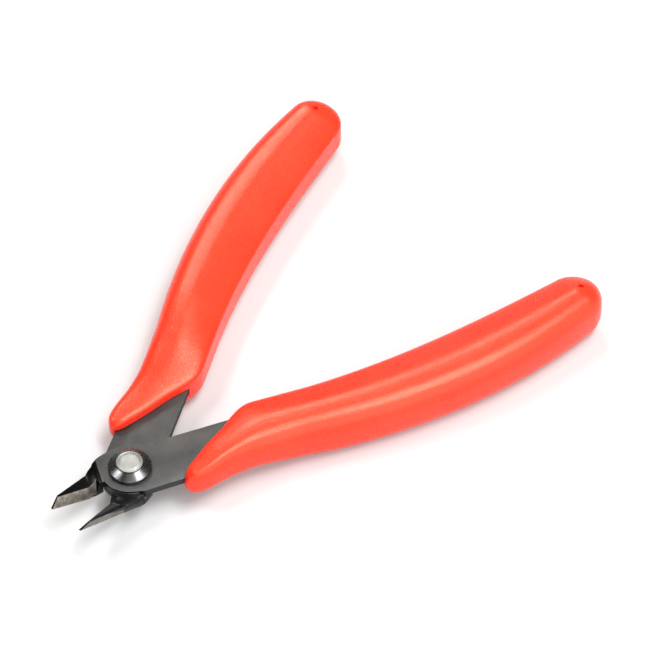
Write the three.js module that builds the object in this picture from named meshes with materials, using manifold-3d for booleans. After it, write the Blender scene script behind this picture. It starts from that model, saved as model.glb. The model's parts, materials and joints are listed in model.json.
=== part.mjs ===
// Diagonal cutting pliers: two stamped steel halves lapped on a riveted pivot, a wire return spring behind
// the joint, and a moulded sleeve on each handle. Millimetres, +Z up, the tool lying on its sleeves, jaws to -X.
// Everything is drawn for the left half, handle to +Y and jaw to -Y, with the tool shut. The right half is its
// mirror image one plate higher. Each half is then turned about the pivot to where the spring holds it open.

import * as THREE from 'three';
import { mergeVertices } from 'three/addons/utils/BufferGeometryUtils.js';
import Module from 'manifold-3d';

const wasm = await Module();
wasm.setup();

// Driving dimensions
const OPEN_DEG = 11.4;              // each half's turn from shut to open
const HANDLE_DEG = 9.4;             // handle axis from the centre line, shut
const LAP_Z = 6;                    // height of the lap face between the halves, and of the sleeves' middle
const PLATE = 1.65;                 // thickness of each stamped half
const LAP_GAP = 0.06;               // running clearance between the halves
const DISC_R = 6.1;                 // round of each half about the pivot
const STEP_GAP = 0.35;              // clearance from a jaw's step to the other half's round
const HOLE_R = 2.06;
const SHANK_R = 2;
const HEAD_DEG = 20;                // slope of the ground head against the handles
const BEVEL_DEG = 29.5;             // bevel of each cutting edge from square to the flush face
const TIP = { x: -18.9, z: 8.2 };
const EDGE_GAP = 0.03;              // half the light between the shut cutting edges
const EDGE_ROOT_X = -9.9;           // where the cutting edge ends
const JAW_ROOT_X = -4.2;            // where a jaw meets the round about the pivot
const JAW_LEAN = 0.2;               // outward lean of a jaw's side per unit of height
const TANG_HALF = 4.1;              // half width of a tang inside its sleeve
const TANG_END = 99;
const SLEEVE_START = 8.8;
const SLEEVE_END = 109.8;
const SLEEVE_CAP = 7;               // length of the sleeve's rounded end
const SLEEVE_HALF_HEIGHT = 6;
const SECTION_POWER = 3;            // superellipse power of a sleeve's section
const POCKET_GAP = 0.15;            // sleeve pocket round its tang
const WIRE_R = 0.45;
const WIRE_Z = 3.7;
const WIRE_BEND_R = 4.6;
const WIRE_END = 34;
const CHANNEL_R = 0.8;

const rad = THREE.MathUtils.degToRad;
const frontZ = [LAP_Z + LAP_GAP / 2, LAP_Z + LAP_GAP / 2 + PLATE];
const rearZ = [LAP_Z - LAP_GAP / 2 - PLATE, LAP_Z - LAP_GAP / 2];

const blackOxide = { color: 0x3a3a3c, roughness: 0.5, metalness: 0.8 };
const brightSteel = { color: 0xd6d4cf, roughness: 0.25, metalness: 1 };
const greySteel = { color: 0x8c8c8e, roughness: 0.4, metalness: 0.9 };
const springSteel = { color: 0xa9a9ae, roughness: 0.3, metalness: 1 };
const redVinyl = { color: 0xff4a2e, roughness: 0.4, metalness: 0 };

// Solids and booleans

function positionsOnly(geometry) {
  const bare = new THREE.BufferGeometry();
  bare.setAttribute('position', geometry.getAttribute('position').clone());
  if (geometry.index) bare.setIndex(geometry.index.clone());
  return mergeVertices(bare, 1e-4);
}

function toSolid(geometry) {
  const g = positionsOnly(geometry);
  const vertProperties = new Float32Array(g.getAttribute('position').array);
  const triVerts = new Uint32Array(g.index.array);
  return new wasm.Manifold(new wasm.Mesh({ numProp: 3, vertProperties, triVerts }));
}

function toGeometry(solid) {
  const m = solid.getMesh();
  const g = new THREE.BufferGeometry();
  g.setAttribute('position', new THREE.BufferAttribute(new Float32Array(m.vertProperties), 3));
  g.setIndex(new THREE.BufferAttribute(new Uint32Array(m.triVerts), 1));
  return g;
}

// The same body on the other side of the centre plane, its faces still pointing out.
function mirrored(geometry) {
  const g = positionsOnly(geometry);
  g.scale(1, -1, 1);
  const index = Array.from(g.index.array);
  for (let i = 0; i < index.length; i += 3) {
    [index[i + 1], index[i + 2]] = [index[i + 2], index[i + 1]];
  }
  g.setIndex(index);
  return g;
}

function makeMesh(name, geometry, look) {
  const g = geometry.toNonIndexed();
  g.computeVertexNormals();
  const mesh = new THREE.Mesh(g, new THREE.MeshStandardMaterial(look));
  mesh.name = name;
  return mesh;
}

function plate(points, [z0, z1]) {
  const shape = new THREE.Shape(points.map(([x, y]) => new THREE.Vector2(x, y)));
  const g = new THREE.ExtrudeGeometry(shape, { depth: z1 - z0, bevelEnabled: false });
  return g.translate(0, 0, z0);
}

// An outline in the vertical plane that holds +X turned by turnDeg about the pivot, swept square to it.
function sweptProfile(points, turnDeg, halfWidth) {
  const g = plate(points, [-halfWidth, halfWidth]);
  return g.rotateX(Math.PI / 2).rotateZ(rad(turnDeg));
}

function upright(radius, [z0, z1], segments = 48) {
  const g = new THREE.CylinderGeometry(radius, radius, z1 - z0, segments);
  return g.rotateX(Math.PI / 2).translate(0, 0, (z0 + z1) / 2);
}

function turned(profile, segments = 40) {
  const points = profile.map(([r, z]) => new THREE.Vector2(r, z));
  return positionsOnly(new THREE.LatheGeometry(points, segments).rotateX(Math.PI / 2));
}

// Smooth value at x through a few [x, value] points.
function through(points, x) {
  const last = points.length - 1;
  const slope = (i) => {
    const [a, b] = [points[Math.max(i - 1, 0)], points[Math.min(i + 1, last)]];
    return (b[1] - a[1]) / (b[0] - a[0]);
  };
  let i = 0;
  while (i < last - 1 && x > points[i + 1][0]) i += 1;
  const [[x0, y0], [x1, y1]] = [points[i], points[i + 1]];
  const d = x1 - x0;
  const t = THREE.MathUtils.clamp((x - x0) / d, 0, 1);
  const [h1, h2] = [t * t * (3 - 2 * t), t * (1 - t) * (1 - t)];
  return y0 * (1 - h1) + y1 * h1 + d * (slope(i) * h2 - slope(i + 1) * t * t * (1 - t));
}

// The handle: distances along its axis from the pivot, and outward from the axis

const BEND = { start: 20, end: 109 };
const bendAt = (along) => (along - BEND.start) / (BEND.end - BEND.start);

function handleCentre(along) {
  const t = bendAt(along);
  return t * (1 - t) * (23.6 - 0.8 * t);
}

function sleeveHalfWidth(along) {
  const t = bendAt(along);
  const s = 1 - t;
  return 6.2 * s ** 3 + 3 * 6.5 * s * s * t + 3 * 9.3 * s * t * t + 6 * t ** 3;
}

// From the handle's own directions to the shut tool's plane.
function onHandle([along, out]) {
  const [c, s] = [Math.cos(rad(HANDLE_DEG)), Math.sin(rad(HANDLE_DEG))];
  return [along * c - out * s, along * s + out * c];
}

// Blades

const HIDDEN_TANG = [36, 48, 60, 72, 84, 94];

function tangOutline(grow = 0) {
  const side = (sign) => HIDDEN_TANG.map((a) => [a, handleCentre(a) + sign * (TANG_HALF + grow)]);
  const end = [-60, -20, 20, 60].map((deg) => [
    TANG_END - TANG_HALF + (TANG_HALF + grow) * Math.cos(rad(deg)),
    handleCentre(TANG_END) + (TANG_HALF + grow) * Math.sin(rad(deg)),
  ]);
  const inner = [[-1.2, -6.2 - grow], [11.1, -3.7 - grow], [22.3, -2.5 - grow], [30, -1.8 - grow]];
  const outer = [[30, 6.5 + grow], [22, 6.4 + grow], [14, 6.9 + grow], [8.7, 7.3 + grow], [0.4, 6.6 + grow]];
  return [...inner, ...side(-1), ...end, ...side(1).reverse(), ...outer, [-1.6, 6], [-3, 0]].map(onHandle);
}

// The jaw fills both plate levels. Its top and its flush underside rise towards the tips at the head's angle.
function jawSolid() {
  const outline = [
    [TIP.x, EDGE_GAP], [TIP.x, -0.1], [-16.6, -0.95], [-12.4, -2.5], [-8.25, -4.05], [-6.2, -5.05],
    [-4.9, -5.8], [-3.8, -6.15], [-2.4, -6.25], [-1.2, -6.2], [-1.2, EDGE_GAP],
  ];
  const block = plate(outline.map(([x, y]) => [x, y - 2 * EDGE_GAP]), [3, 11]);
  const p = block.getAttribute('position');
  for (let i = 0; i < p.count; i += 1) {
    const fade = THREE.MathUtils.clamp((-4.5 - p.getX(i)) / 3.5, 0, 1);
    if (p.getY(i) < -0.08) p.setY(i, p.getY(i) - fade * JAW_LEAN * (p.getZ(i) - 6.5));
  }

  const rise = Math.tan(rad(HEAD_DEG));
  const flushMeets = TIP.x + (TIP.z - rearZ[0]) / rise;
  const flush = sweptProfile([
    [TIP.x, TIP.z], [flushMeets, rearZ[0]], [0, rearZ[0]], [0, 12], [-16.6, 12], [-16.6, 9.65],
  ], 0, 9);

  const VALLEY = 9.1;
  const valleyZ = frontZ[1] - 0.7;
  const top = sweptProfile([
    [0, 2], [0, frontZ[1]], [-6.3, frontZ[1]], [-7, frontZ[1] - 0.1], [-7.7, frontZ[1] - 0.35],
    [-8.4, frontZ[1] - 0.62], [-VALLEY, valleyZ], [-20, valleyZ + (20 - VALLEY) * rise], [-20, 2],
  ], 19.5, 12);

  return toSolid(block).intersect(toSolid(flush)).intersect(toSolid(top)).subtract(toSolid(bevelCut()))
    .subtract(toSolid(rootRelief()));
}

// What the grinder takes above the cutting edge: a wedge that runs along it from the tip to its root.
function bevelCut() {
  const height = 6;
  const wedge = plate([
    [-EDGE_GAP, 0], [1, 0], [1, height], [-EDGE_GAP - height * Math.tan(rad(BEVEL_DEG)), height],
  ], [-3, (EDGE_ROOT_X - TIP.x + 1.6) / Math.cos(rad(HEAD_DEG))]);
  const [c, s] = [Math.cos(rad(HEAD_DEG)), Math.sin(rad(HEAD_DEG))];
  const basis = new THREE.Matrix4().makeBasis(
    new THREE.Vector3(0, 1, 0), new THREE.Vector3(s, 0, c), new THREE.Vector3(c, 0, -s));
  return wedge.applyMatrix4(basis).translate(TIP.x, 0, TIP.z);
}

function rootRelief() {
  return plate([[EDGE_ROOT_X, 1], [EDGE_ROOT_X, 0], [EDGE_ROOT_X + 0.6, -0.3], [0, -0.3], [0, 1]], [2, 12]);
}

function bladeHalf(level, otherLevel) {
  const clear = otherLevel[0] < level[0] ? [0, level[0]] : [level[1], 12];
  const stepClear = toSolid(upright(DISC_R + STEP_GAP, clear, 64))
    .add(toSolid(plate([[JAW_ROOT_X, -9], [3, -9], [3, 3], [JAW_ROOT_X, 3]], clear)));
  return toSolid(plate(tangOutline(), level))
    .add(toSolid(upright(DISC_R, level, 64)))
    .add(jawSolid().subtract(stepClear))
    .subtract(toSolid(upright(HOLE_R, [0, 12], 40)));
}

// Sleeves

function sleeveEdges(along) {
  const [c, w] = [handleCentre(along), sleeveHalfWidth(along)];
  if (along >= 36) return [c - w, c + w];
  const [c36, w36] = [handleCentre(36), sleeveHalfWidth(36)];
  const inner = [
    [SLEEVE_START, 6.4], [11, 5.4], [12.8, 4.2], [16, 1.8], [20.8, -1], [24, -3.3], [27, -3.9],
    [30, -3.95], [36, c36 - w36],
  ];
  const outer = [
    [SLEEVE_START, 9.1], [12, 9.5], [15, 9], [19, 8.3], [24, 8.1], [30, 8.7], [36, c36 + w36],
  ];
  return [through(inner, along), through(outer, along)];
}

function sleeveHeight(along) {
  return through([[SLEEVE_START, 3.2], [12, 3.9], [17, 4.8], [24, 5.5], [32, 5.85], [44, SLEEVE_HALF_HEIGHT],
    [60, SLEEVE_HALF_HEIGHT]], along);
}

// How far a section has shrunk in the rounded nose and the rounded end.
function capScale(along) {
  const [nose, blunt] = [2.4, 2.1];
  const intoNose = Math.max(0, (SLEEVE_START + nose - along) / nose);
  const intoEnd = Math.max(0, (along - (SLEEVE_END - SLEEVE_CAP)) / SLEEVE_CAP);
  return (1 - Math.max(intoNose, intoEnd) ** blunt) ** (1 / blunt);
}

function sleeveBody() {
  const stations = [
    SLEEVE_START + 0.05, SLEEVE_START + 0.4, 10.4, 11.6, 13, 14.5, 16.5, 19, 21, 22.5, 24, 27, 31, 36, 42, 49, 56,
    63, 70, 77, 84, 91, 97, SLEEVE_END - SLEEVE_CAP, 105.5, 107.5, 109, SLEEVE_END - 0.08,
  ];
  const around = 24;
  const positions = [];
  for (const along of stations) {
    const [inner, outer] = sleeveEdges(along);
    const scale = capScale(along);
    const [middle, half] = [(inner + outer) / 2, (scale * (outer - inner)) / 2];
    const height = scale * sleeveHeight(along);
    for (let i = 0; i < around; i += 1) {
      const a = ((i + 0.5) / around) * 2 * Math.PI;
      const squash = (v) => Math.sign(v) * Math.abs(v) ** (2 / SECTION_POWER);
      const [x, y] = onHandle([along, middle + half * squash(Math.cos(a))]);
      positions.push(x, y, LAP_Z + height * squash(Math.sin(a)));
    }
  }
  const index = [];
  const ring = (s, i) => s * around + (i % around);
  for (let s = 0; s < stations.length - 1; s += 1) {
    for (let i = 0; i < around; i += 1) {
      index.push(ring(s, i), ring(s, i + 1), ring(s + 1, i + 1), ring(s, i), ring(s + 1, i + 1), ring(s + 1, i));
    }
  }
  const last = stations.length - 1;
  for (let i = 1; i < around - 1; i += 1) {
    index.push(ring(0, 0), ring(0, i + 1), ring(0, i), ring(last, 0), ring(last, i), ring(last, i + 1));
  }
  const g = new THREE.BufferGeometry();
  g.setAttribute('position', new THREE.Float32BufferAttribute(positions, 3));
  g.setIndex(index);
  return g;
}

function sleeve(level) {
  const pocket = plate(tangOutline(POCKET_GAP), [level[0] - POCKET_GAP, level[1] + POCKET_GAP]);
  const length = WIRE_END + 0.6;
  const channel = new THREE.CylinderGeometry(CHANNEL_R, CHANNEL_R, length, 12)
    .rotateZ(Math.PI / 2).translate(length / 2, WIRE_BEND_R, WIRE_Z).rotateZ(rad(HANDLE_DEG));
  return toSolid(sleeveBody()).subtract(toSolid(pocket)).subtract(toSolid(channel));
}

// Pivot and spring

const rearHeadZ = rearZ[0] - 0.75;

function rivet() {
  return turned([
    [0, rearHeadZ - 0.7], [2.7, rearHeadZ - 0.7], [2.95, rearHeadZ - 0.45], [2.95, rearHeadZ], [SHANK_R, rearHeadZ],
    [SHANK_R, 9.55], [2.65, 9.55], [2.75, 9.66], [2.75, 9.82], [2.5, 9.94], [1.2, 9.99], [0, 10],
  ]);
}

function collar() {
  const z = frontZ[1] + 0.03;
  return turned([
    [HOLE_R, z], [4.5, z], [4.5, z + 0.95], [4.4, z + 1.05], [2.9, z + 1.78], [HOLE_R, z + 1.78], [HOLE_R, z],
  ]);
}

function rearWasher() {
  const [z0, z1] = [rearHeadZ + 0.04, rearZ[0] - 0.06];
  return turned([[HOLE_R, z0], [3.6, z0], [3.75, z0 + 0.15], [3.75, z1], [HOLE_R, z1], [HOLE_R, z0]]);
}

// One wire: round the jaw side of the pivot, then straight back along both open handles into their sleeves.
function springWire() {
  const open = HANDLE_DEG + OPEN_DEG;
  const leg = (side, along) => {
    const v = new THREE.Vector3(along, WIRE_BEND_R, WIRE_Z).applyAxisAngle(new THREE.Vector3(0, 0, 1), rad(open));
    return new THREE.Vector3(v.x, side * v.y, v.z);
  };
  const bend = [];
  for (let deg = open + 90; deg <= 270 - open + 0.01; deg += (180 - 2 * open) / 10) {
    bend.push(new THREE.Vector3(WIRE_BEND_R * Math.cos(rad(deg)), WIRE_BEND_R * Math.sin(rad(deg)), WIRE_Z));
  }
  const legs = [WIRE_END, 24, 14, 6, 2];
  const path = new THREE.CatmullRomCurve3([
    ...legs.map((a) => leg(1, a)), ...bend, ...legs.map((a) => leg(-1, a)).reverse(),
  ]);
  const section = new THREE.Shape();
  for (let i = 0; i <= 8; i += 1) {
    const a = (i / 8) * 2 * Math.PI;
    section[i ? 'lineTo' : 'moveTo'](WIRE_R * Math.cos(a), WIRE_R * Math.sin(a));
  }
  const g = new THREE.ExtrudeGeometry(section, { steps: 60, bevelEnabled: false, extrudePath: path });
  return positionsOnly(g);
}

// The assembly

const leftSide = new THREE.Group();
leftSide.rotation.z = rad(OPEN_DEG);
leftSide.add(
  makeMesh('rear_blade_half', toGeometry(bladeHalf(rearZ, frontZ)), blackOxide),
  makeMesh('left_grip_sleeve', toGeometry(sleeve(rearZ)), redVinyl),
);

const rightSide = new THREE.Group();
rightSide.rotation.z = -rad(OPEN_DEG);
rightSide.add(
  makeMesh('front_blade_half', mirrored(toGeometry(bladeHalf(frontZ, rearZ))), blackOxide),
  makeMesh('right_grip_sleeve', mirrored(toGeometry(sleeve(frontZ))), redVinyl),
);

const tool = new THREE.Group();
tool.add(
  leftSide, rightSide,
  makeMesh('pivot_rivet', rivet(), brightSteel),
  makeMesh('pivot_collar', collar(), greySteel),
  makeMesh('rear_washer', rearWasher(), greySteel),
  makeMesh('return_spring', springWire(), springSteel),
);

// The origin is the bottom centre of the open tool's box, to a hundredth of a millimetre.
const box = new THREE.Box3().setFromObject(tool, true);
tool.position.set(-Math.round(50 * (box.min.x + box.max.x)) / 100, 0, -Math.round(100 * box.min.z) / 100);

const pliers = new THREE.Group();
pliers.add(tool);

export default pliers;
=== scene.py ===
"""Small flush cutters: the looks of the open tool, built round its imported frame.

Lengths in the shape functions are millimetres in the tool's own frame: the pivot's axis at the origin, the
lap between the two steel halves at LAP_Z and the handles towards +X. place() turns them into the row frame's
metres. A handle's own directions are `along` its axis from the pivot and `out` from that axis, away from the
other handle.
"""

import json
import math

import bmesh
import bpy
from mathutils import Matrix, Quaternion, Vector


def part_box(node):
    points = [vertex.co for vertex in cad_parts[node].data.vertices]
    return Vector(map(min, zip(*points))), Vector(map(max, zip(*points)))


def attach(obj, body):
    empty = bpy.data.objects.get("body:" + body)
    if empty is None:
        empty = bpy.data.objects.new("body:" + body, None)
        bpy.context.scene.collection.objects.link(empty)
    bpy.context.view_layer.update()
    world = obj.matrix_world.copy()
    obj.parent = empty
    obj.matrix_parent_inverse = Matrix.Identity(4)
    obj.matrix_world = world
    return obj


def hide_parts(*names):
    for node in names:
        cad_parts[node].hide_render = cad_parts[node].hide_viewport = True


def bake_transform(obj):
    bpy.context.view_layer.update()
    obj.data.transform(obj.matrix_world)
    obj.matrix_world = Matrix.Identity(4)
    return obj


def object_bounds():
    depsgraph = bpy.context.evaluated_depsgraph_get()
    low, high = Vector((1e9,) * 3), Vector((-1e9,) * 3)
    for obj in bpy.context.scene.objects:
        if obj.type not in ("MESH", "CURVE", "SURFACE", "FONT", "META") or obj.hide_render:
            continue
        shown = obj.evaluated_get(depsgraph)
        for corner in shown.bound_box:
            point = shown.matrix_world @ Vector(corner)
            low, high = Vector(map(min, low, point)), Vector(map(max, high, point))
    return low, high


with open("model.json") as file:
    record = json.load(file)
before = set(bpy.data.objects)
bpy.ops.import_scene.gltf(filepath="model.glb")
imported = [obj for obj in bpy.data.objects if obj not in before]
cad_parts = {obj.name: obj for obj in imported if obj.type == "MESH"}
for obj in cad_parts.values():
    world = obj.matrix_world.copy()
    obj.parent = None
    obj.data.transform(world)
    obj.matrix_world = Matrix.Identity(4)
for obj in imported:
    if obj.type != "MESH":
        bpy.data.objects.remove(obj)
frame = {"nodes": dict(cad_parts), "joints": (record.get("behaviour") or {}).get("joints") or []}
cad_low, cad_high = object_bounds()

MM = 0.001
LAP_Z = 6
FIT_GAP = 0.03                            # from the lap's middle to each half, and under the collar
PIVOT = Vector(frame["joints"][0]["pos_m"])
SLEEVE_LOW, SLEEVE_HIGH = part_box("left_grip_sleeve")
MID_Z = (SLEEVE_LOW.z + SLEEVE_HIGH.z) / 2
HANDLE_OPEN = math.radians(20.8)          # a handle's axis from the centre line, open
SHUT_TURN = math.radians(11.4)            # each half's turn from shut to open
LEFT, RIGHT = 1, -1                       # the side of the tool's centre line that a handle is on
OUTER, INNER = 1, -1                      # the side of a handle's centre line: INNER faces the other handle


def place(x, y, z):
    """A point of the tool's own frame, in the row frame's metres."""
    return Vector((PIVOT.x + x * MM, PIVOT.y + y * MM, MID_Z + (z - LAP_Z) * MM))


def on_handle(side, along, out):
    """A place along and out from a handle's axis, as the tool's own x and y."""
    c, s = math.cos(HANDLE_OPEN), math.sin(HANDLE_OPEN)
    return along * c - out * s, side * (along * s + out * c)


def through(points, x):
    """Smooth value at x through a few (x, value) points."""
    last = len(points) - 1

    def slope(i):
        before, after = points[max(i - 1, 0)], points[min(i + 1, last)]
        return (after[1] - before[1]) / (after[0] - before[0])

    i = 0
    while i < last - 1 and x > points[i + 1][0]:
        i += 1
    (x0, y0), (x1, y1) = points[i], points[i + 1]
    step = x1 - x0
    t = min(max((x - x0) / step, 0), 1)
    rise = t * t * (3 - 2 * t)
    leaving, arriving = t * (1 - t) * (1 - t), t * t * (1 - t)
    return y0 * (1 - rise) + y1 * rise + step * (slope(i) * leaving - slope(i + 1) * arriving)


# Meshes

TURNED_STEPS = 128                        # points round a turned piece


def new_object(name, mesh):
    piece = bpy.data.objects.new(name, mesh)
    bpy.context.scene.collection.objects.link(piece)
    return piece


def new_mesh(name, vertices, faces):
    mesh = bpy.data.meshes.new(name)
    mesh.from_pydata(vertices, [], faces)
    bm = bmesh.new()
    bm.from_mesh(mesh)
    bmesh.ops.recalc_face_normals(bm, faces=bm.faces)
    bm.to_mesh(mesh)
    bm.free()
    return mesh


def smooth(piece, degrees):
    """Smooth shading, apart from edges sharper than that angle."""
    piece.data.shade_smooth()
    piece.data.set_sharp_from_angle(angle=math.radians(degrees))


def apply_modifiers(piece):
    """Replaces the piece's mesh with what its modifiers make of it."""
    depsgraph = bpy.context.evaluated_depsgraph_get()
    mesh = bpy.data.meshes.new_from_object(piece.evaluated_get(depsgraph))
    piece.modifiers.clear()
    piece.data = mesh
    mesh.name = piece.name


def cut(piece, tool):
    """Takes the tool's solid out of the piece, and the tool out of the scene."""
    modifier = piece.modifiers.new("cut", "BOOLEAN")
    modifier.operation = "DIFFERENCE"
    modifier.solver = "EXACT"
    modifier.object = tool
    apply_modifiers(piece)
    bpy.data.objects.remove(tool)


def loft(name, rings):
    """A closed mesh through rings of the same number of points, each end closed by a fan."""
    around = len(rings[0])
    starts = range(0, len(rings) * around, around)
    sides = [(i, (i + 1) % around) for i in range(around)]
    vertices = [v for ring in rings for v in ring]
    faces = [(a + i, a + j, b + j, b + i) for a, b in zip(starts, starts[1:]) for i, j in sides]
    for start, ring in ((starts[0], rings[0]), (starts[-1], rings[-1])):
        centre = len(vertices)
        vertices.append(sum(ring, Vector()) / around)
        faces += [(start + i, start + j, centre) for i, j in sides]
    return new_mesh(name, vertices, faces)


def turned(name, profile):
    """A solid of revolution about the pivot's axis. Its profile ends on the axis or closes on itself."""
    vertices, faces, rows = [], [], []
    for r, z in profile:
        if r == 0:
            rows.append([len(vertices)] * TURNED_STEPS)
            vertices.append(place(0, 0, z))
            continue
        rows.append(list(range(len(vertices), len(vertices) + TURNED_STEPS)))
        for i in range(TURNED_STEPS):
            a = 2 * math.pi * i / TURNED_STEPS
            vertices.append(place(r * math.cos(a), r * math.sin(a), z))
    pairs = list(zip(rows, rows[1:]))
    if profile[0][0] != 0:
        pairs.append((rows[-1], rows[0]))
    for lower, upper in pairs:
        for i in range(TURNED_STEPS):
            j = (i + 1) % TURNED_STEPS
            corners = (lower[i], lower[j], upper[j], upper[i])
            faces.append(list(dict.fromkeys(corners)))     # a triangle where two corners meet on the axis
    return new_object(name, new_mesh(name, vertices, faces))


def slab(name, outline, low, high):
    """An outline of (x, y) points between two heights."""
    count = len(outline)
    vertices = [place(x, y, z) for z in (low, high) for x, y in outline]
    sides = [(i, (i + 1) % count, count + (i + 1) % count, count + i) for i in range(count)]
    ends = [range(count), range(count, 2 * count)]
    return new_object(name, new_mesh(name, vertices, sides + ends))


# Materials

FADE_FALL = 0.62                          # how fast the top edge of a jaw's ground strip falls to the heel
FADE_POINT = place(-12, 0, 8.2)           # a point on that edge
FADE_LEVEL = FADE_POINT.z + FADE_FALL * FADE_POINT.x
FADE_WIDTH = 0.4 * MM
HEEL_BLACK = (0.02, 0.02, 0.021)


def add(tree, kind, inputs=None, **settings):
    """A shader node. An input is a value or the socket that feeds it."""
    node = tree.nodes.new(kind)
    for key, value in settings.items():
        setattr(node, key, value)
    for key, value in (inputs or {}).items():
        if isinstance(value, bpy.types.NodeSocket):
            tree.links.new(value, node.inputs[key])
        else:
            node.inputs[key].default_value = value
    return node


def object_place(tree):
    return add(tree, "ShaderNodeTexCoord").outputs["Object"]


def noise(tree, point, scale, detail=2):
    """Noise with about `scale` lumps to a metre."""
    inputs = {"Vector": point, "Scale": scale, "Detail": detail}
    return add(tree, "ShaderNodeTexNoise", inputs).outputs["Fac"]


def stretched(tree, turn, stretch):
    """Object coordinates, turned about Z and stretched along the turned X."""
    inputs = {"Vector": object_place(tree), "Rotation": (0, 0, -turn), "Scale": (1 / stretch, 1, 1)}
    return add(tree, "ShaderNodeMapping", inputs).outputs["Vector"]


def remap(tree, value, low, high, to_low, to_high):
    inputs = {"Value": value, "From Min": low, "From Max": high, "To Min": to_low, "To Max": to_high}
    return add(tree, "ShaderNodeMapRange", inputs).outputs["Result"]


def ramp(tree, value, *stops):
    """Colours at places along 0 to 1."""
    node = add(tree, "ShaderNodeValToRGB", {"Fac": value})
    elements = node.color_ramp.elements
    while len(elements) < len(stops):
        elements.new(0.5)
    for element, (position, colour) in zip(elements, stops):
        element.position = position
        element.color = (*colour, 1)
    return node.outputs["Color"]


def bump(tree, height, distance, normal=None):
    inputs = {"Height": height, "Distance": distance}
    if normal is not None:
        inputs["Normal"] = normal
    return add(tree, "ShaderNodeBump", inputs).outputs["Normal"]


def new_material(name, **settings):
    """A material whose shader has these settings, with _ for the space in a socket's name."""
    material = bpy.data.materials.new(name)
    material.use_nodes = True
    tree = material.node_tree
    shader = tree.nodes["Principled BSDF"]
    for key, value in settings.items():
        shader.inputs[key.replace("_", " ")].default_value = value
    return material, tree, shader


def feed(tree, shader, **sockets):
    """Links each socket to the shader's input of that name, with _ for a space."""
    for key, socket in sockets.items():
        tree.links.new(socket, shader.inputs[key.replace("_", " ")])


def red_vinyl():
    """Soft moulded vinyl with a fine moulded grain and slight clouds in its colour."""
    material, tree, shader = new_material(
        "red_vinyl", Specular_Tint=(1, 0.84, 0.6, 1), Sheen_Weight=0.02, Sheen_Roughness=0.4
    )
    coordinates = object_place(tree)
    grain = noise(tree, coordinates, 3400)
    cloud = noise(tree, coordinates, 90, detail=3)
    feed(
        tree, shader,
        Base_Color=ramp(tree, cloud, (0.3, (0.88, 0.029, 0.01)), (0.7, (0.94, 0.036, 0.013))),
        Roughness=remap(tree, grain, 0.3, 0.7, 0.24, 0.34),
        Normal=bump(tree, grain, 0.055 * MM),
    )
    return material


def black_oxide(name, tone, low, high, metallic=1.0):
    """Blackened steel with a fine grain and faint streaks.

    `tone` scales its colour, and `low` to `high` is its roughness.
    """
    material, tree, shader = new_material(name, Metallic=metallic, Specular_IOR_Level=0.25)
    coordinates = object_place(tree)
    grain = noise(tree, coordinates, 5200)
    streak = noise(tree, stretched(tree, math.radians(80), 5), 4600)
    cloud = noise(tree, coordinates, 180, detail=4)
    mixed = add(tree, "ShaderNodeMix", {"Factor": 0.6, "A": streak, "B": cloud}).outputs["Result"]
    dark, pale = (0.075 * tone,) * 3, (0.105 * tone, 0.103 * tone, 0.1 * tone)
    feed(
        tree, shader,
        Base_Color=ramp(tree, mixed, (0.35, dark), (0.68, pale)),
        Roughness=remap(tree, grain, 0.25, 0.75, low, high),
        Normal=bump(tree, grain, 0.012 * MM, normal=bump(tree, streak, 0.004 * MM)),
    )
    return material


def blackened_heel(tree, coordinates, colour):
    """The colour below the ground strip's top edge and black above it, towards the jaw's heel."""
    parts = add(tree, "ShaderNodeSeparateXYZ", {"Vector": coordinates}).outputs
    fall = add(tree, "ShaderNodeMath", {0: parts["X"], 1: FADE_FALL}, operation="MULTIPLY").outputs["Value"]
    level = add(tree, "ShaderNodeMath", {0: parts["Z"], 1: fall}, operation="ADD").outputs["Value"]
    ground = remap(tree, level, FADE_LEVEL + FADE_WIDTH, FADE_LEVEL, 0, 1)
    inputs = {0: ground, 6: (*HEEL_BLACK, 1), 7: colour}   # 6 and 7 are a Mix node's two colours
    return add(tree, "ShaderNodeMix", inputs, data_type="RGBA").outputs[2]


def ground_steel(name, heel=False):
    """A ground face with fine scratches across its edge, stained brown. It can turn black at its heel."""
    material, tree, shader = new_material(name, Metallic=1.0)
    coordinates = object_place(tree)
    scratch = noise(tree, stretched(tree, math.radians(90), 14), 9000, detail=3)
    stain = noise(tree, coordinates, 900, detail=4)
    colour = ramp(tree, stain, (0.38, (0.16, 0.135, 0.11)), (0.62, (0.27, 0.25, 0.225)))
    if heel:
        colour = blackened_heel(tree, coordinates, colour)
    feed(
        tree, shader,
        Base_Color=colour,
        Roughness=remap(tree, scratch, 0.3, 0.7, 0.3, 0.5),
        Normal=bump(tree, scratch, 0.012 * MM),
    )
    return material


def worn_edge():
    """Oxide rubbed through to the steel in patches."""
    material, tree, shader = new_material("worn_edge", Metallic=1.0)
    patch = noise(tree, object_place(tree), 900, detail=3)
    feed(
        tree, shader,
        Base_Color=ramp(tree, patch, (0.4, (0.15, 0.148, 0.145)), (0.68, (0.36, 0.35, 0.34))),
        Roughness=remap(tree, patch, 0.3, 0.7, 0.5, 0.32),
    )
    return material


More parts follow.
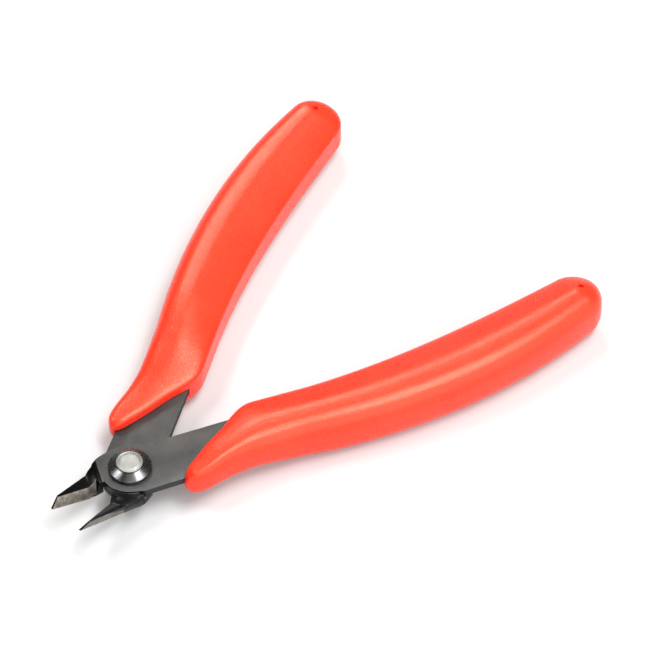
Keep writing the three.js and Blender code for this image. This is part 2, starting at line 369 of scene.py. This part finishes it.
def turned_steel(name, colour, low, high, ring_depth, frosted=0.0, lathe=0.0):
    """Steel with the fine rings of the lathe, `ring_depth` mm deep, and a blasted grain `frosted` mm deep.

    `low` to `high` is its roughness, and `lathe`, 0 to 1, stretches its glints away from the axis.
    """
    material, tree, shader = new_material(name, Metallic=1.0, Anisotropic=lathe, Anisotropic_Rotation=0.25)
    inputs = {"Vector": object_place(tree), "Location": -PIVOT}
    centred = add(tree, "ShaderNodeMapping", inputs).outputs["Vector"]
    parts = add(tree, "ShaderNodeSeparateXYZ", {"Vector": centred}).outputs
    flat = add(tree, "ShaderNodeCombineXYZ", {"X": parts["X"], "Y": parts["Y"]}).outputs["Vector"]
    radius = add(tree, "ShaderNodeVectorMath", {0: flat}, operation="LENGTH").outputs["Value"]
    shell = add(tree, "ShaderNodeCombineXYZ", {"X": radius, "Z": parts["Z"]}).outputs["Vector"]
    rings = noise(tree, shell, 9000)
    grain = noise(tree, centred, 3600, detail=3)
    smudge = noise(tree, centred, 700, detail=3)
    pale = tuple(min(c * 1.2, 1) for c in colour)
    feed(
        tree, shader,
        Base_Color=ramp(tree, smudge, (0.35, colour), (0.65, pale)),
        Roughness=remap(tree, grain, 0.3, 0.7, low, high),
        Normal=bump(tree, grain, frosted * MM, normal=bump(tree, rings, ring_depth * MM)),
        Tangent=add(tree, "ShaderNodeTangent", direction_type="RADIAL").outputs["Tangent"],
    )
    return material


def dress(piece, body, slot_name, *materials):
    """Gives a piece its materials and the body that it rides on, if any. `slot_name` is not used."""
    for material in materials:
        piece.data.materials.append(material)
    if body:
        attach(piece, body)


# Sleeves

# A sleeve's section is an upper and a lower half. Each rises from the inner edge to a crest and rounds over
# to the palm side. The two sleeves are one moulding, flipped: towards the mouth one half of the section is
# thick and the other thin, because the mouth is centred on its plate.
BEND_START, BEND_END = 20, 109            # the ends of the handle's bow
BEND_RISE, BEND_LEAN = 23.9, 1.6          # four times the bow's height, and how it leans to its start
SLEEVE_START, SLEEVE_END = 8.8, 109.65
SLEEVE_HEIGHT = 5.95                      # the highest crest over the section's middle
GRIP_HALF_WIDTHS = (6.2, 6.5, 9.4, 5.7)   # control values of a Bezier curve from BEND_START to BEND_END
WAIST_END = 36                            # from here on, the grip's half width gives the edges
WAIST_INNER = [
    (SLEEVE_START, 6.4), (11, 5.5), (12.8, 4.45), (16, 2.65), (20.8, 0.2), (24, -1.9), (26.5, -3.2),
    (29, -3.7),
]
WAIST_OUTER = [(SLEEVE_START, 9.3), (12, 9.9), (15, 9.7), (19, 9.1), (24, 8.9), (30, 9.4)]
THICK_HEIGHTS = [(SLEEVE_START, 3.7), (12, 4.2), (17, 5), (24, 5.6), (33, 5.8)]
THIN_HEIGHTS = [
    (SLEEVE_START, 2.2), (12, 2.35), (16, 2.5), (20, 2.75), (24, 3.2), (28, 3.9), (34, 5.05),
]
GRIP_HEIGHTS = [(45, SLEEVE_HEIGHT), (60, SLEEVE_HEIGHT)]
THICK_DROPS = [(SLEEVE_START, 0.05), (17, 0.1), (24, 0.24), (32, 0.42), (42, 0.5)]
THIN_DROPS = [(SLEEVE_START, 0.08), (16, 0.14), (20, 0.2), (24, 0.26), (29, 0.34), (42, 0.5)]
INNER_POWERS = [(SLEEVE_START, 5), (16, 6.5), (24, 8), (32, 12), (40, 16)]
SECTION_CREST = 0.24                      # outward of the section's middle, as a share of its half width
SECTION_PALM = 2.9                        # power of the section's round palm side
SECTION_RIDGE = 0.2                       # how softly the crest turns into the slope to the inner edge
SEAM_Z = 0.1                              # half the height of the narrow wall at the section's inner edge
NOSE_LENGTH, NOSE_POWER = 2.4, 2.1        # of the rounded nose, in front of the mouth
NOSE_RINGS, GRIP_RINGS, END_RINGS = 14, 150, 30
FIRST_RING, LAST_RING = 0.3, 0.2          # how far the end rings keep from the tips, in steps
HALF_AROUND = 60                          # steps over each half of a ring
END_LENGTH = 6                            # about how long the rounded end is
VENT_ALONG, VENT_R, VENT_STEPS = 105.1, 0.65, 24
VENT_OUT = {LEFT: 0.5, RIGHT: 0}          # the vent's place across each sleeve, out from its centre line
VENT_FLOOR = LAP_Z + SLEEVE_HEIGHT - 1.4
TANG_HALF, TANG_END = 4.1, 99
POCKET_GAP = 0.2                          # round the tang, inside the sleeve
PLATE = 1.65                              # a steel half's thickness
FRONT_Z = (LAP_Z + FIT_GAP, LAP_Z + FIT_GAP + PLATE)
REAR_Z = (LAP_Z - FIT_GAP - PLATE, LAP_Z - FIT_GAP)


def along_bend(along):
    return (along - BEND_START) / (BEND_END - BEND_START)


def handle_centre(along):
    """The sleeve's centre line, out from the handle's axis."""
    t = along_bend(along)
    return t * (1 - t) * (BEND_RISE - BEND_LEAN * t)


def handle_slope(along):
    """How fast the centre line moves out, per mm along."""
    return handle_centre(along + 0.5) - handle_centre(along - 0.5)


def grip_half_width(along):
    """Half the grip's width, by a cubic Bezier curve."""
    t = along_bend(along)
    s = 1 - t
    a, b, c, d = GRIP_HALF_WIDTHS
    return a * s**3 + 3 * b * s * s * t + 3 * c * s * t * t + d * t**3


def sleeve_edges(along):
    """The sleeve's inner and outer edge, out from the handle's axis."""
    if along >= WAIST_END:
        centre, half = handle_centre(along), grip_half_width(along)
        return centre - half, centre + half
    grip_inner, grip_outer = sleeve_edges(WAIST_END)
    inner = through(WAIST_INNER + [(WAIST_END, grip_inner)], along)
    outer = through(WAIST_OUTER + [(WAIST_END, grip_outer)], along)
    return inner, outer


def crest_height(along, thick):
    """Height of the crest over the section's middle."""
    heights = THICK_HEIGHTS if thick else THIN_HEIGHTS
    return min(through(heights + GRIP_HEIGHTS, along), SLEEVE_HEIGHT)


def inner_power(along):
    """Power of the section's inner side: a soft lip round the mouth, a crisp edge behind it."""
    return through(INNER_POWERS, along)


def inner_drop(along, thick):
    """How far the inner edge lies below the crest, as a share of the crest's height."""
    return through(THICK_DROPS if thick else THIN_DROPS, along)


def section_across(along, t):
    """Place across the section, -1 inner to 1 palm, for t from 0 at the palm to 1 at the inner edge."""
    if t < 0.5:
        return SECTION_CREST + (1 - SECTION_CREST) * math.cos(math.pi * t) ** (2 / SECTION_PALM)
    u = 2 * t - 1
    edge = math.sin(math.pi / 2 * max(u, 0.5)) ** (2 / inner_power(along))
    return SECTION_CREST - (1 + SECTION_CREST) * edge * min(2 * u, 1)


def section_fall(from_crest):
    """How far the slope to the inner edge has fallen, 0 at the crest to 1 at that edge."""
    def fallen(x):
        return x - SECTION_RIDGE * math.atan(x / SECTION_RIDGE)

    return fallen(from_crest) / fallen(1)


def section_height(along, x, thick):
    """Height of the section at x across it, 1 at the crest."""
    if x > SECTION_CREST:
        from_crest = (x - SECTION_CREST) / (1 - SECTION_CREST)
        power, drop = SECTION_PALM, 0
    else:
        from_crest = (SECTION_CREST - x) / (1 + SECTION_CREST)
        power, drop = inner_power(along), inner_drop(along, thick)
    return (1 - drop * section_fall(from_crest)) * max(0, 1 - from_crest**power) ** (1 / power)


def reach_across(along, turn, edge):
    """Distance from the sleeve's centre line to its INNER or OUTER edge, measured square to that line."""
    reach = grip_half_width(along)
    for _ in range(4):                    # each round brings the point measured to nearer the edge
        x = along - edge * reach * math.sin(turn)
        reach = (grip_half_width(x) + edge * (handle_centre(x) - handle_centre(along))) / math.cos(turn)
    return reach


def turned_height(along, across, past, half, thick):
    """Height of the section at `across`, 1 at the crest.

    `past` the last ring of the grip, it blends the two sides that the section turns between.
    """
    radius = math.hypot(across, past)
    palm = (1 + (across / radius if radius else 1)) / 2
    palm_height = section_height(along, radius / half, thick) * palm
    return palm_height + section_height(along, -radius / half, thick) * (1 - palm)


def sleeve_ring(side, along, past=0.0):
    """The ring at `along`, or `past` it in the rounded end, where the section turns about its middle."""
    inner, outer = sleeve_edges(along)
    turn = 0
    if along > (BEND_START + BEND_END) / 2:
        turn = math.atan(handle_slope(along))
        inner = handle_centre(along) - reach_across(along, turn, INNER)
        outer = handle_centre(along) + reach_across(along, turn, OUTER)
    into_nose = max(0, (SLEEVE_START + NOSE_LENGTH - along) / NOSE_LENGTH)
    nose = (1 - into_nose**NOSE_POWER) ** (1 / NOSE_POWER)     # the section's size there, 1 behind the nose
    half = nose * (outer - inner) / 2
    middle = (inner + outer) / 2 - handle_centre(along)
    reach = math.sqrt(max(0, half * half - past * past))
    ring = []
    for k in range(2 * HALF_AROUND + 1):
        upper = k <= HALF_AROUND
        thick = upper == (side == RIGHT)  # above on the right sleeve, below on the left one
        t = k / HALF_AROUND if upper else 2 - (k - 1) / HALF_AROUND
        across = section_across(along, t) * reach
        z = nose * crest_height(along, thick) * turned_height(along, across, past, half, thick)
        z = max(z, nose * SEAM_Z if across < 0 else 0)
        x = along + past * math.cos(turn) - (middle + across) * math.sin(turn)
        y = handle_centre(along) + past * math.sin(turn) + (middle + across) * math.cos(turn)
        point = place(*on_handle(side, x, y), LAP_Z + (z if upper else -z))
        point.z = max(point.z, SLEEVE_LOW.z)
        ring.append(point)
    return ring


def sleeve_rings(side):
    """Rings over the nose, the grip and the rounded end, closer together where the surface turns."""
    quarter = math.pi / 2
    grip_start = SLEEVE_START + NOSE_LENGTH
    grip_end = SLEEVE_END - grip_half_width(SLEEVE_END - END_LENGTH)
    outer = reach_across(grip_end, math.atan(handle_slope(grip_end)), OUTER)
    end_reach = (outer + grip_half_width(grip_end)) / 2
    rings = []
    for i in range(NOSE_RINGS):
        along = grip_start - NOSE_LENGTH * math.cos(quarter * (i + FIRST_RING) / NOSE_RINGS)
        rings.append(sleeve_ring(side, along))
    for i in range(GRIP_RINGS + 1):
        rings.append(sleeve_ring(side, grip_start + (grip_end - grip_start) * i / GRIP_RINGS))
    for i in range(END_RINGS):
        past = end_reach * math.sin(quarter * (i + 1) / (END_RINGS + LAST_RING))
        rings.append(sleeve_ring(side, grip_end, past))
    return rings


def sleeve(name, node, side, body, level, material):
    """A vinyl sleeve with a pocket for the tang at the level of its steel half."""
    piece = new_object(name, loft(name, sleeve_rings(side)))
    pocket = [on_handle(side, *p) for p in tang_outline(POCKET_GAP)]
    cut(piece, slab("pocket", pocket, level[0] - POCKET_GAP, level[1] + POCKET_GAP))
    cut(piece, vent(side))
    smooth(piece, 40)
    dress(piece, body, "red_vinyl", material)
    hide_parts(node)


def tang_outline(grow):
    """The tang's outline as (along, out) points, `grow` wider on every side."""
    half = TANG_HALF + grow
    bowed = (36, 48, 60, 72, 84, 94)
    inner = [(-1.2, -6.2), (11.1, -3.7), (22.3, -2.5), (30, -1.8)]
    outer = [(30, 6.5), (22, 6.4), (14, 6.9), (8.7, 7.3), (0.4, 6.6)]
    outline = [(a, out - grow) for a, out in inner] + [(a, handle_centre(a) - half) for a in bowed]
    end_along, end_out = TANG_END - TANG_HALF, handle_centre(TANG_END)
    outline += [
        (end_along + half * math.cos(a), end_out + half * math.sin(a))
        for a in map(math.radians, (-60, -20, 20, 60))
    ]
    outline += [(a, handle_centre(a) + half) for a in reversed(bowed)]
    return outline + [(a, out + grow) for a, out in outer]


def vent(side):
    """The solid of the small vent hole near a sleeve's end."""
    x, y = on_handle(side, VENT_ALONG, handle_centre(VENT_ALONG) + VENT_OUT[side])
    turns = [2 * math.pi * i / VENT_STEPS for i in range(VENT_STEPS)]
    circle = [(x + VENT_R * math.cos(a), y + VENT_R * math.sin(a)) for a in turns]
    return slab("vent", circle, VENT_FLOOR, LAP_Z + SLEEVE_HEIGHT + 0.5)


# Steel halves

# The finishes' places among a steel half's materials
PLATE_OXIDE, GROUND, WORN, POLISHED, GROUND_STRIP, SIDE_SHADE = range(6)
# The middle of the jaw's bevel, of its outer strip and of its end is nearer the tip than this
BEVEL_X, STRIP_X, JAW_END_X = -9, -7, -15
EDGE_BREAK = 0.09


def finish_of(face, side, plate_top):
    """The finish of one face of a half, told by where it is and by where it would face with the tool shut."""
    normal = Matrix.Rotation(side * SHUT_TURN, 3, "Z") @ face.normal
    normal.y *= side
    centre = face.calc_center_median()
    x = (centre.x - PIVOT.x) / MM
    if normal.y > 0.5 and normal.z > 0.2 and x < BEVEL_X:
        return GROUND
    if normal.x < -0.5 and x < JAW_END_X:
        return GROUND
    if normal.y < -0.6 and x < STRIP_X:
        return GROUND_STRIP
    if normal.z > 0.95 and abs(plate_top - centre.z) < 0.05 * MM:
        return PLATE_OXIDE
    # side walls behind the pivot: a rough, non-metallic oxide whose darker colour is partly painted shade
    if abs(normal.z) < 0.3 and x > 0:
        return SIDE_SHADE
    return POLISHED


def steel_half(name, node, body, side, plate_top, materials):
    """The half's own solid, with its edges broken and a finish for each kind of face."""
    piece = new_object(name, frame["nodes"][node].data.copy())
    piece.data.materials.clear()
    for material in materials:
        piece.data.materials.append(material)
    bm = bmesh.new()
    bm.from_mesh(piece.data)
    bmesh.ops.remove_doubles(bm, verts=bm.verts, dist=0.002 * MM)
    bmesh.ops.dissolve_limit(bm, angle_limit=math.radians(1), verts=bm.verts, edges=bm.edges)
    for face in bm.faces:
        face.material_index = finish_of(face, side, place(0, 0, plate_top).z)
    bm.to_mesh(piece.data)
    bm.free()
    bevel = piece.modifiers.new("broken edges", "BEVEL")
    bevel.width = EDGE_BREAK * MM
    bevel.segments = 2
    bevel.limit_method = "ANGLE"
    bevel.angle_limit = math.radians(28)
    bevel.material = WORN
    apply_modifiers(piece)
    smooth(piece, 30)
    dress(piece, body, "black_oxide")
    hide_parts(node)


# The pivot

REAR_HEAD_Z = REAR_Z[0] - 0.75            # the inner face of the rivet's rear head
COLLAR_Z = FRONT_Z[1] + FIT_GAP           # the collar's foot


def rivet(material):
    """The rear head, the shank, and a front head with a raised rim, a groove and a slightly domed cap."""
    low, top = REAR_HEAD_Z, 9.94
    rear_head = [(0, low - 0.7), (2.6, low - 0.7), (2.85, low - 0.6), (2.95, low - 0.4), (2.95, low)]
    shank = [(2, low), (2, top - 0.34)]
    rim = [
        (2.62, top - 0.34), (2.72, top - 0.28), (2.75, top - 0.18), (2.72, top - 0.06), (2.62, top),
        (2.5, top), (2.42, top - 0.06),
    ]
    groove = [(2.36, top - 0.16), (2.26, top - 0.16)]
    cap = [(2.14, top - 0.08), (1.7, top - 0.04), (0.8, top - 0.01), (0, top)]
    piece = turned("rivet", rear_head + shank + rim + groove + cap)
    smooth(piece, 40)
    dress(piece, "right_handle", "bright_steel", material)
    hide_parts("pivot_rivet")


def collar(material):
    """A flat ring with a cone on it, round the rivet's front head."""
    z = COLLAR_Z
    profile = [
        (2.06, z), (4.42, z), (4.5, z + 0.08), (4.5, z + 0.86), (4.47, z + 0.95), (4.38, z + 1.02),
        (4.28, z + 1.06), (3, z + 1.83), (2.85, z + 1.87), (2.16, z + 1.87), (2.06, z + 1.8),
    ]
    piece = turned("collar", profile)
    smooth(piece, 25)
    dress(piece, "right_handle", "collar_steel", material)
    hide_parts("pivot_collar")


def washer(material):
    """A plain washer between the rear half and the rivet's rear head."""
    low, high = REAR_HEAD_Z + 0.04, REAR_Z[0] - 0.06
    profile = [
        (2.1, low), (3.6, low), (3.7, low + 0.05), (3.75, low + 0.15), (3.75, high - 0.1), (3.68, high),
        (2.1, high),
    ]
    piece = turned("washer", profile)
    smooth(piece, 30)
    dress(piece, "right_handle", "collar_steel", material)
    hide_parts("rear_washer")


WIRE_R, WIRE_Z = 0.45, 3.7
WIRE_BEND_R, WIRE_BEND_STEPS = 4.6, 40    # the wire's bend round the pivot
WIRE_LEG = (34, 30, 26, 22, 18, 14, 10, 7, 4, 2, 0.8)    # points along a leg, from its end to the bend
WIRE_AROUND = 20


def return_spring(material):
    """One wire: round the jaw side of the pivot, then straight back along both handles into their sleeves."""
    route = [on_handle(LEFT, along, WIRE_BEND_R) for along in WIRE_LEG]
    for i in range(WIRE_BEND_STEPS + 1):
        a = HANDLE_OPEN + math.pi / 2 + (math.pi - 2 * HANDLE_OPEN) * i / WIRE_BEND_STEPS
        route.append((WIRE_BEND_R * math.cos(a), WIRE_BEND_R * math.sin(a)))
    route += [on_handle(RIGHT, along, WIRE_BEND_R) for along in reversed(WIRE_LEG)]
    around = [2 * math.pi * k / WIRE_AROUND for k in range(WIRE_AROUND)]
    rings = []
    for i, (x, y) in enumerate(route):
        (x0, y0), (x1, y1) = route[max(i - 1, 0)], route[min(i + 1, len(route) - 1)]
        length = math.hypot(x1 - x0, y1 - y0)
        side_x, side_y = -(y1 - y0) / length * WIRE_R, (x1 - x0) / length * WIRE_R
        rings.append([
            place(x + side_x * math.cos(a), y + side_y * math.cos(a), WIRE_Z + WIRE_R * math.sin(a))
            for a in around
        ])
    piece = new_object("spring", loft("spring", rings))
    smooth(piece, 40)
    dress(piece, None, "spring_wire", material)
    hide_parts("return_spring")
    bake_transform(piece)


# Stage, in metres

CAMERA_AIM = Vector((0.0179, 0.001, 0))
CAMERA_DISTANCE = 0.7695
CAMERA_HEADING = 0.7458                   # radians from +X, towards +Y
CAMERA_PITCH = 0.8721                     # radians below the horizon
CAMERA_LENS, CAMERA_SENSOR = 198.2, 36
SOFTBOX_DISTANCE = 1.6
WHITE = (1, 1, 1)
HORIZON_LIGHT, CEILING_LIGHT = 1.2, 0.14  # strength of the world's light
HORIZON_TOP = 0.09                        # sine of the elevation where the one has become the other
GLOW_TOWARDS = (-0.25, -0.83, 0.5)
GLOW_EDGE, GLOW_CORE = 0.5, 0.95          # about the cosines of its edge's and its core's angle from there
GLOW_LIGHT = 2.5
FLOOR_HALF = 6
FLOOR_TONE, FLOOR_LIGHT = 0.57, 0.03


def camera():
    data = bpy.data.cameras.new("camera")
    data.lens = CAMERA_LENS
    data.sensor_width = CAMERA_SENSOR
    data.clip_start, data.clip_end = 0.01, 20
    piece = new_object("camera", data)
    level, rise = math.cos(CAMERA_PITCH), -math.sin(CAMERA_PITCH)
    view = Vector((level * math.cos(CAMERA_HEADING), level * math.sin(CAMERA_HEADING), rise))
    piece.location = CAMERA_AIM - CAMERA_DISTANCE * view
    piece.rotation_euler = (CAMERA_AIM - piece.location).to_track_quat("-Z", "Y").to_euler()
    bpy.context.scene.camera = piece


def softbox(name, direction, width, height, power, roll=0.0, colour=WHITE):
    """A rectangular light facing the object from that direction, rolled about it by `roll` degrees."""
    data = bpy.data.lights.new(name, "AREA")
    data.color = colour
    data.shape = "RECTANGLE"
    data.size, data.size_y = width, height
    data.energy = power
    piece = new_object(name, data)
    piece.location = CAMERA_AIM + SOFTBOX_DISTANCE * Vector(direction).normalized()
    aim = (CAMERA_AIM - piece.location).to_track_quat("-Z", "Y")
    piece.rotation_euler = (aim @ Quaternion((0, 0, 1), math.radians(roll))).to_euler()


def room():
    """A pale world, dimmer overhead than at the horizon, with a broad glow behind the camera to its right."""
    world = bpy.data.worlds.new("studio")
    world.use_nodes = True
    tree = world.node_tree
    outward = add(tree, "ShaderNodeTexCoord").outputs["Generated"]
    height = add(tree, "ShaderNodeSeparateXYZ", {"Vector": outward}).outputs["Z"]
    inputs = {0: outward, 1: GLOW_TOWARDS}
    facing = add(tree, "ShaderNodeVectorMath", inputs, operation="DOT_PRODUCT").outputs["Value"]
    walls = remap(tree, height, 0, HORIZON_TOP, HORIZON_LIGHT, CEILING_LIGHT)
    glow = remap(tree, facing, GLOW_EDGE, GLOW_CORE, 0, GLOW_LIGHT)
    light = add(tree, "ShaderNodeMath", {0: walls, 1: glow}, operation="ADD").outputs["Value"]
    background = tree.nodes["Background"]
    tree.links.new(light, background.inputs["Strength"])
    background.inputs["Color"].default_value = (*WHITE, 1)
    bpy.context.scene.world = world


def floor():
    """A pale matt floor just under the tool. It glows a little, which keeps the shadows pale."""
    bm = bmesh.new()
    bmesh.ops.create_grid(bm, x_segments=1, y_segments=1, size=FLOOR_HALF)
    mesh = bpy.data.meshes.new("floor")
    bm.to_mesh(mesh)
    bm.free()
    piece = new_object("floor", mesh)
    piece.location.z = min(cad_low.z, 0) - 0.1 * MM
    material, _, _ = new_material(
        "floor", Base_Color=(FLOOR_TONE, FLOOR_TONE, FLOOR_TONE, 1), Roughness=0.9, Specular_IOR_Level=0,
        Emission_Color=(*WHITE, 1), Emission_Strength=FLOOR_LIGHT,
    )
    mesh.materials.append(material)


camera()
floor()
room()
softbox("back_softbox", (0.47, 0.59, 0.66), width=0.32, height=0.32, power=8, colour=(1, 0.96, 0.9))
softbox("top_softbox", (0.225, -0.21, 0.952), width=0.4, height=1, power=22, roll=-74)
softbox("left_softbox", (-0.25, 0.45, 0.86), width=0.45, height=0.45, power=9)

vinyl = red_vinyl()
sleeve("left_sleeve", "left_grip_sleeve", LEFT, "left_handle", REAR_Z, vinyl)
sleeve("right_sleeve", "right_grip_sleeve", RIGHT, "right_handle", FRONT_Z, vinyl)

steel = (
    black_oxide("black_oxide", tone=0.88, low=0.42, high=0.6),
    ground_steel("ground_steel"),
    worn_edge(),
    black_oxide("polished_oxide", tone=0.16, low=0.24, high=0.34),
    ground_steel("ground_heel", heel=True),
    # the side walls' finish: rough, non-metallic oxide, its tone lowered partly as painted shade on those
    # walls
    black_oxide("side_oxide_with_painted_shade", tone=0.3, low=0.6, high=0.75, metallic=0),
)
steel_half("front_half", "front_blade_half", "right_handle", RIGHT, FRONT_Z[1], steel)
steel_half("rear_half", "rear_blade_half", "left_handle", LEFT, REAR_Z[1], steel)

bright_steel = turned_steel(
    "bright_steel", (0.28, 0.28, 0.264), low=0.4, high=0.55, ring_depth=0.003, frosted=0.035
)
rivet(bright_steel)
collar_steel = turned_steel(
    "collar_steel", (0.12, 0.12, 0.122), low=0.2, high=0.3, ring_depth=0.004, lathe=0.8
)
collar(collar_steel)
washer(collar_steel)
return_spring(turned_steel("spring_wire", (0.5, 0.5, 0.51), low=0.25, high=0.35, ring_depth=0.002))

bpy.context.scene.view_settings.view_transform = "Standard"
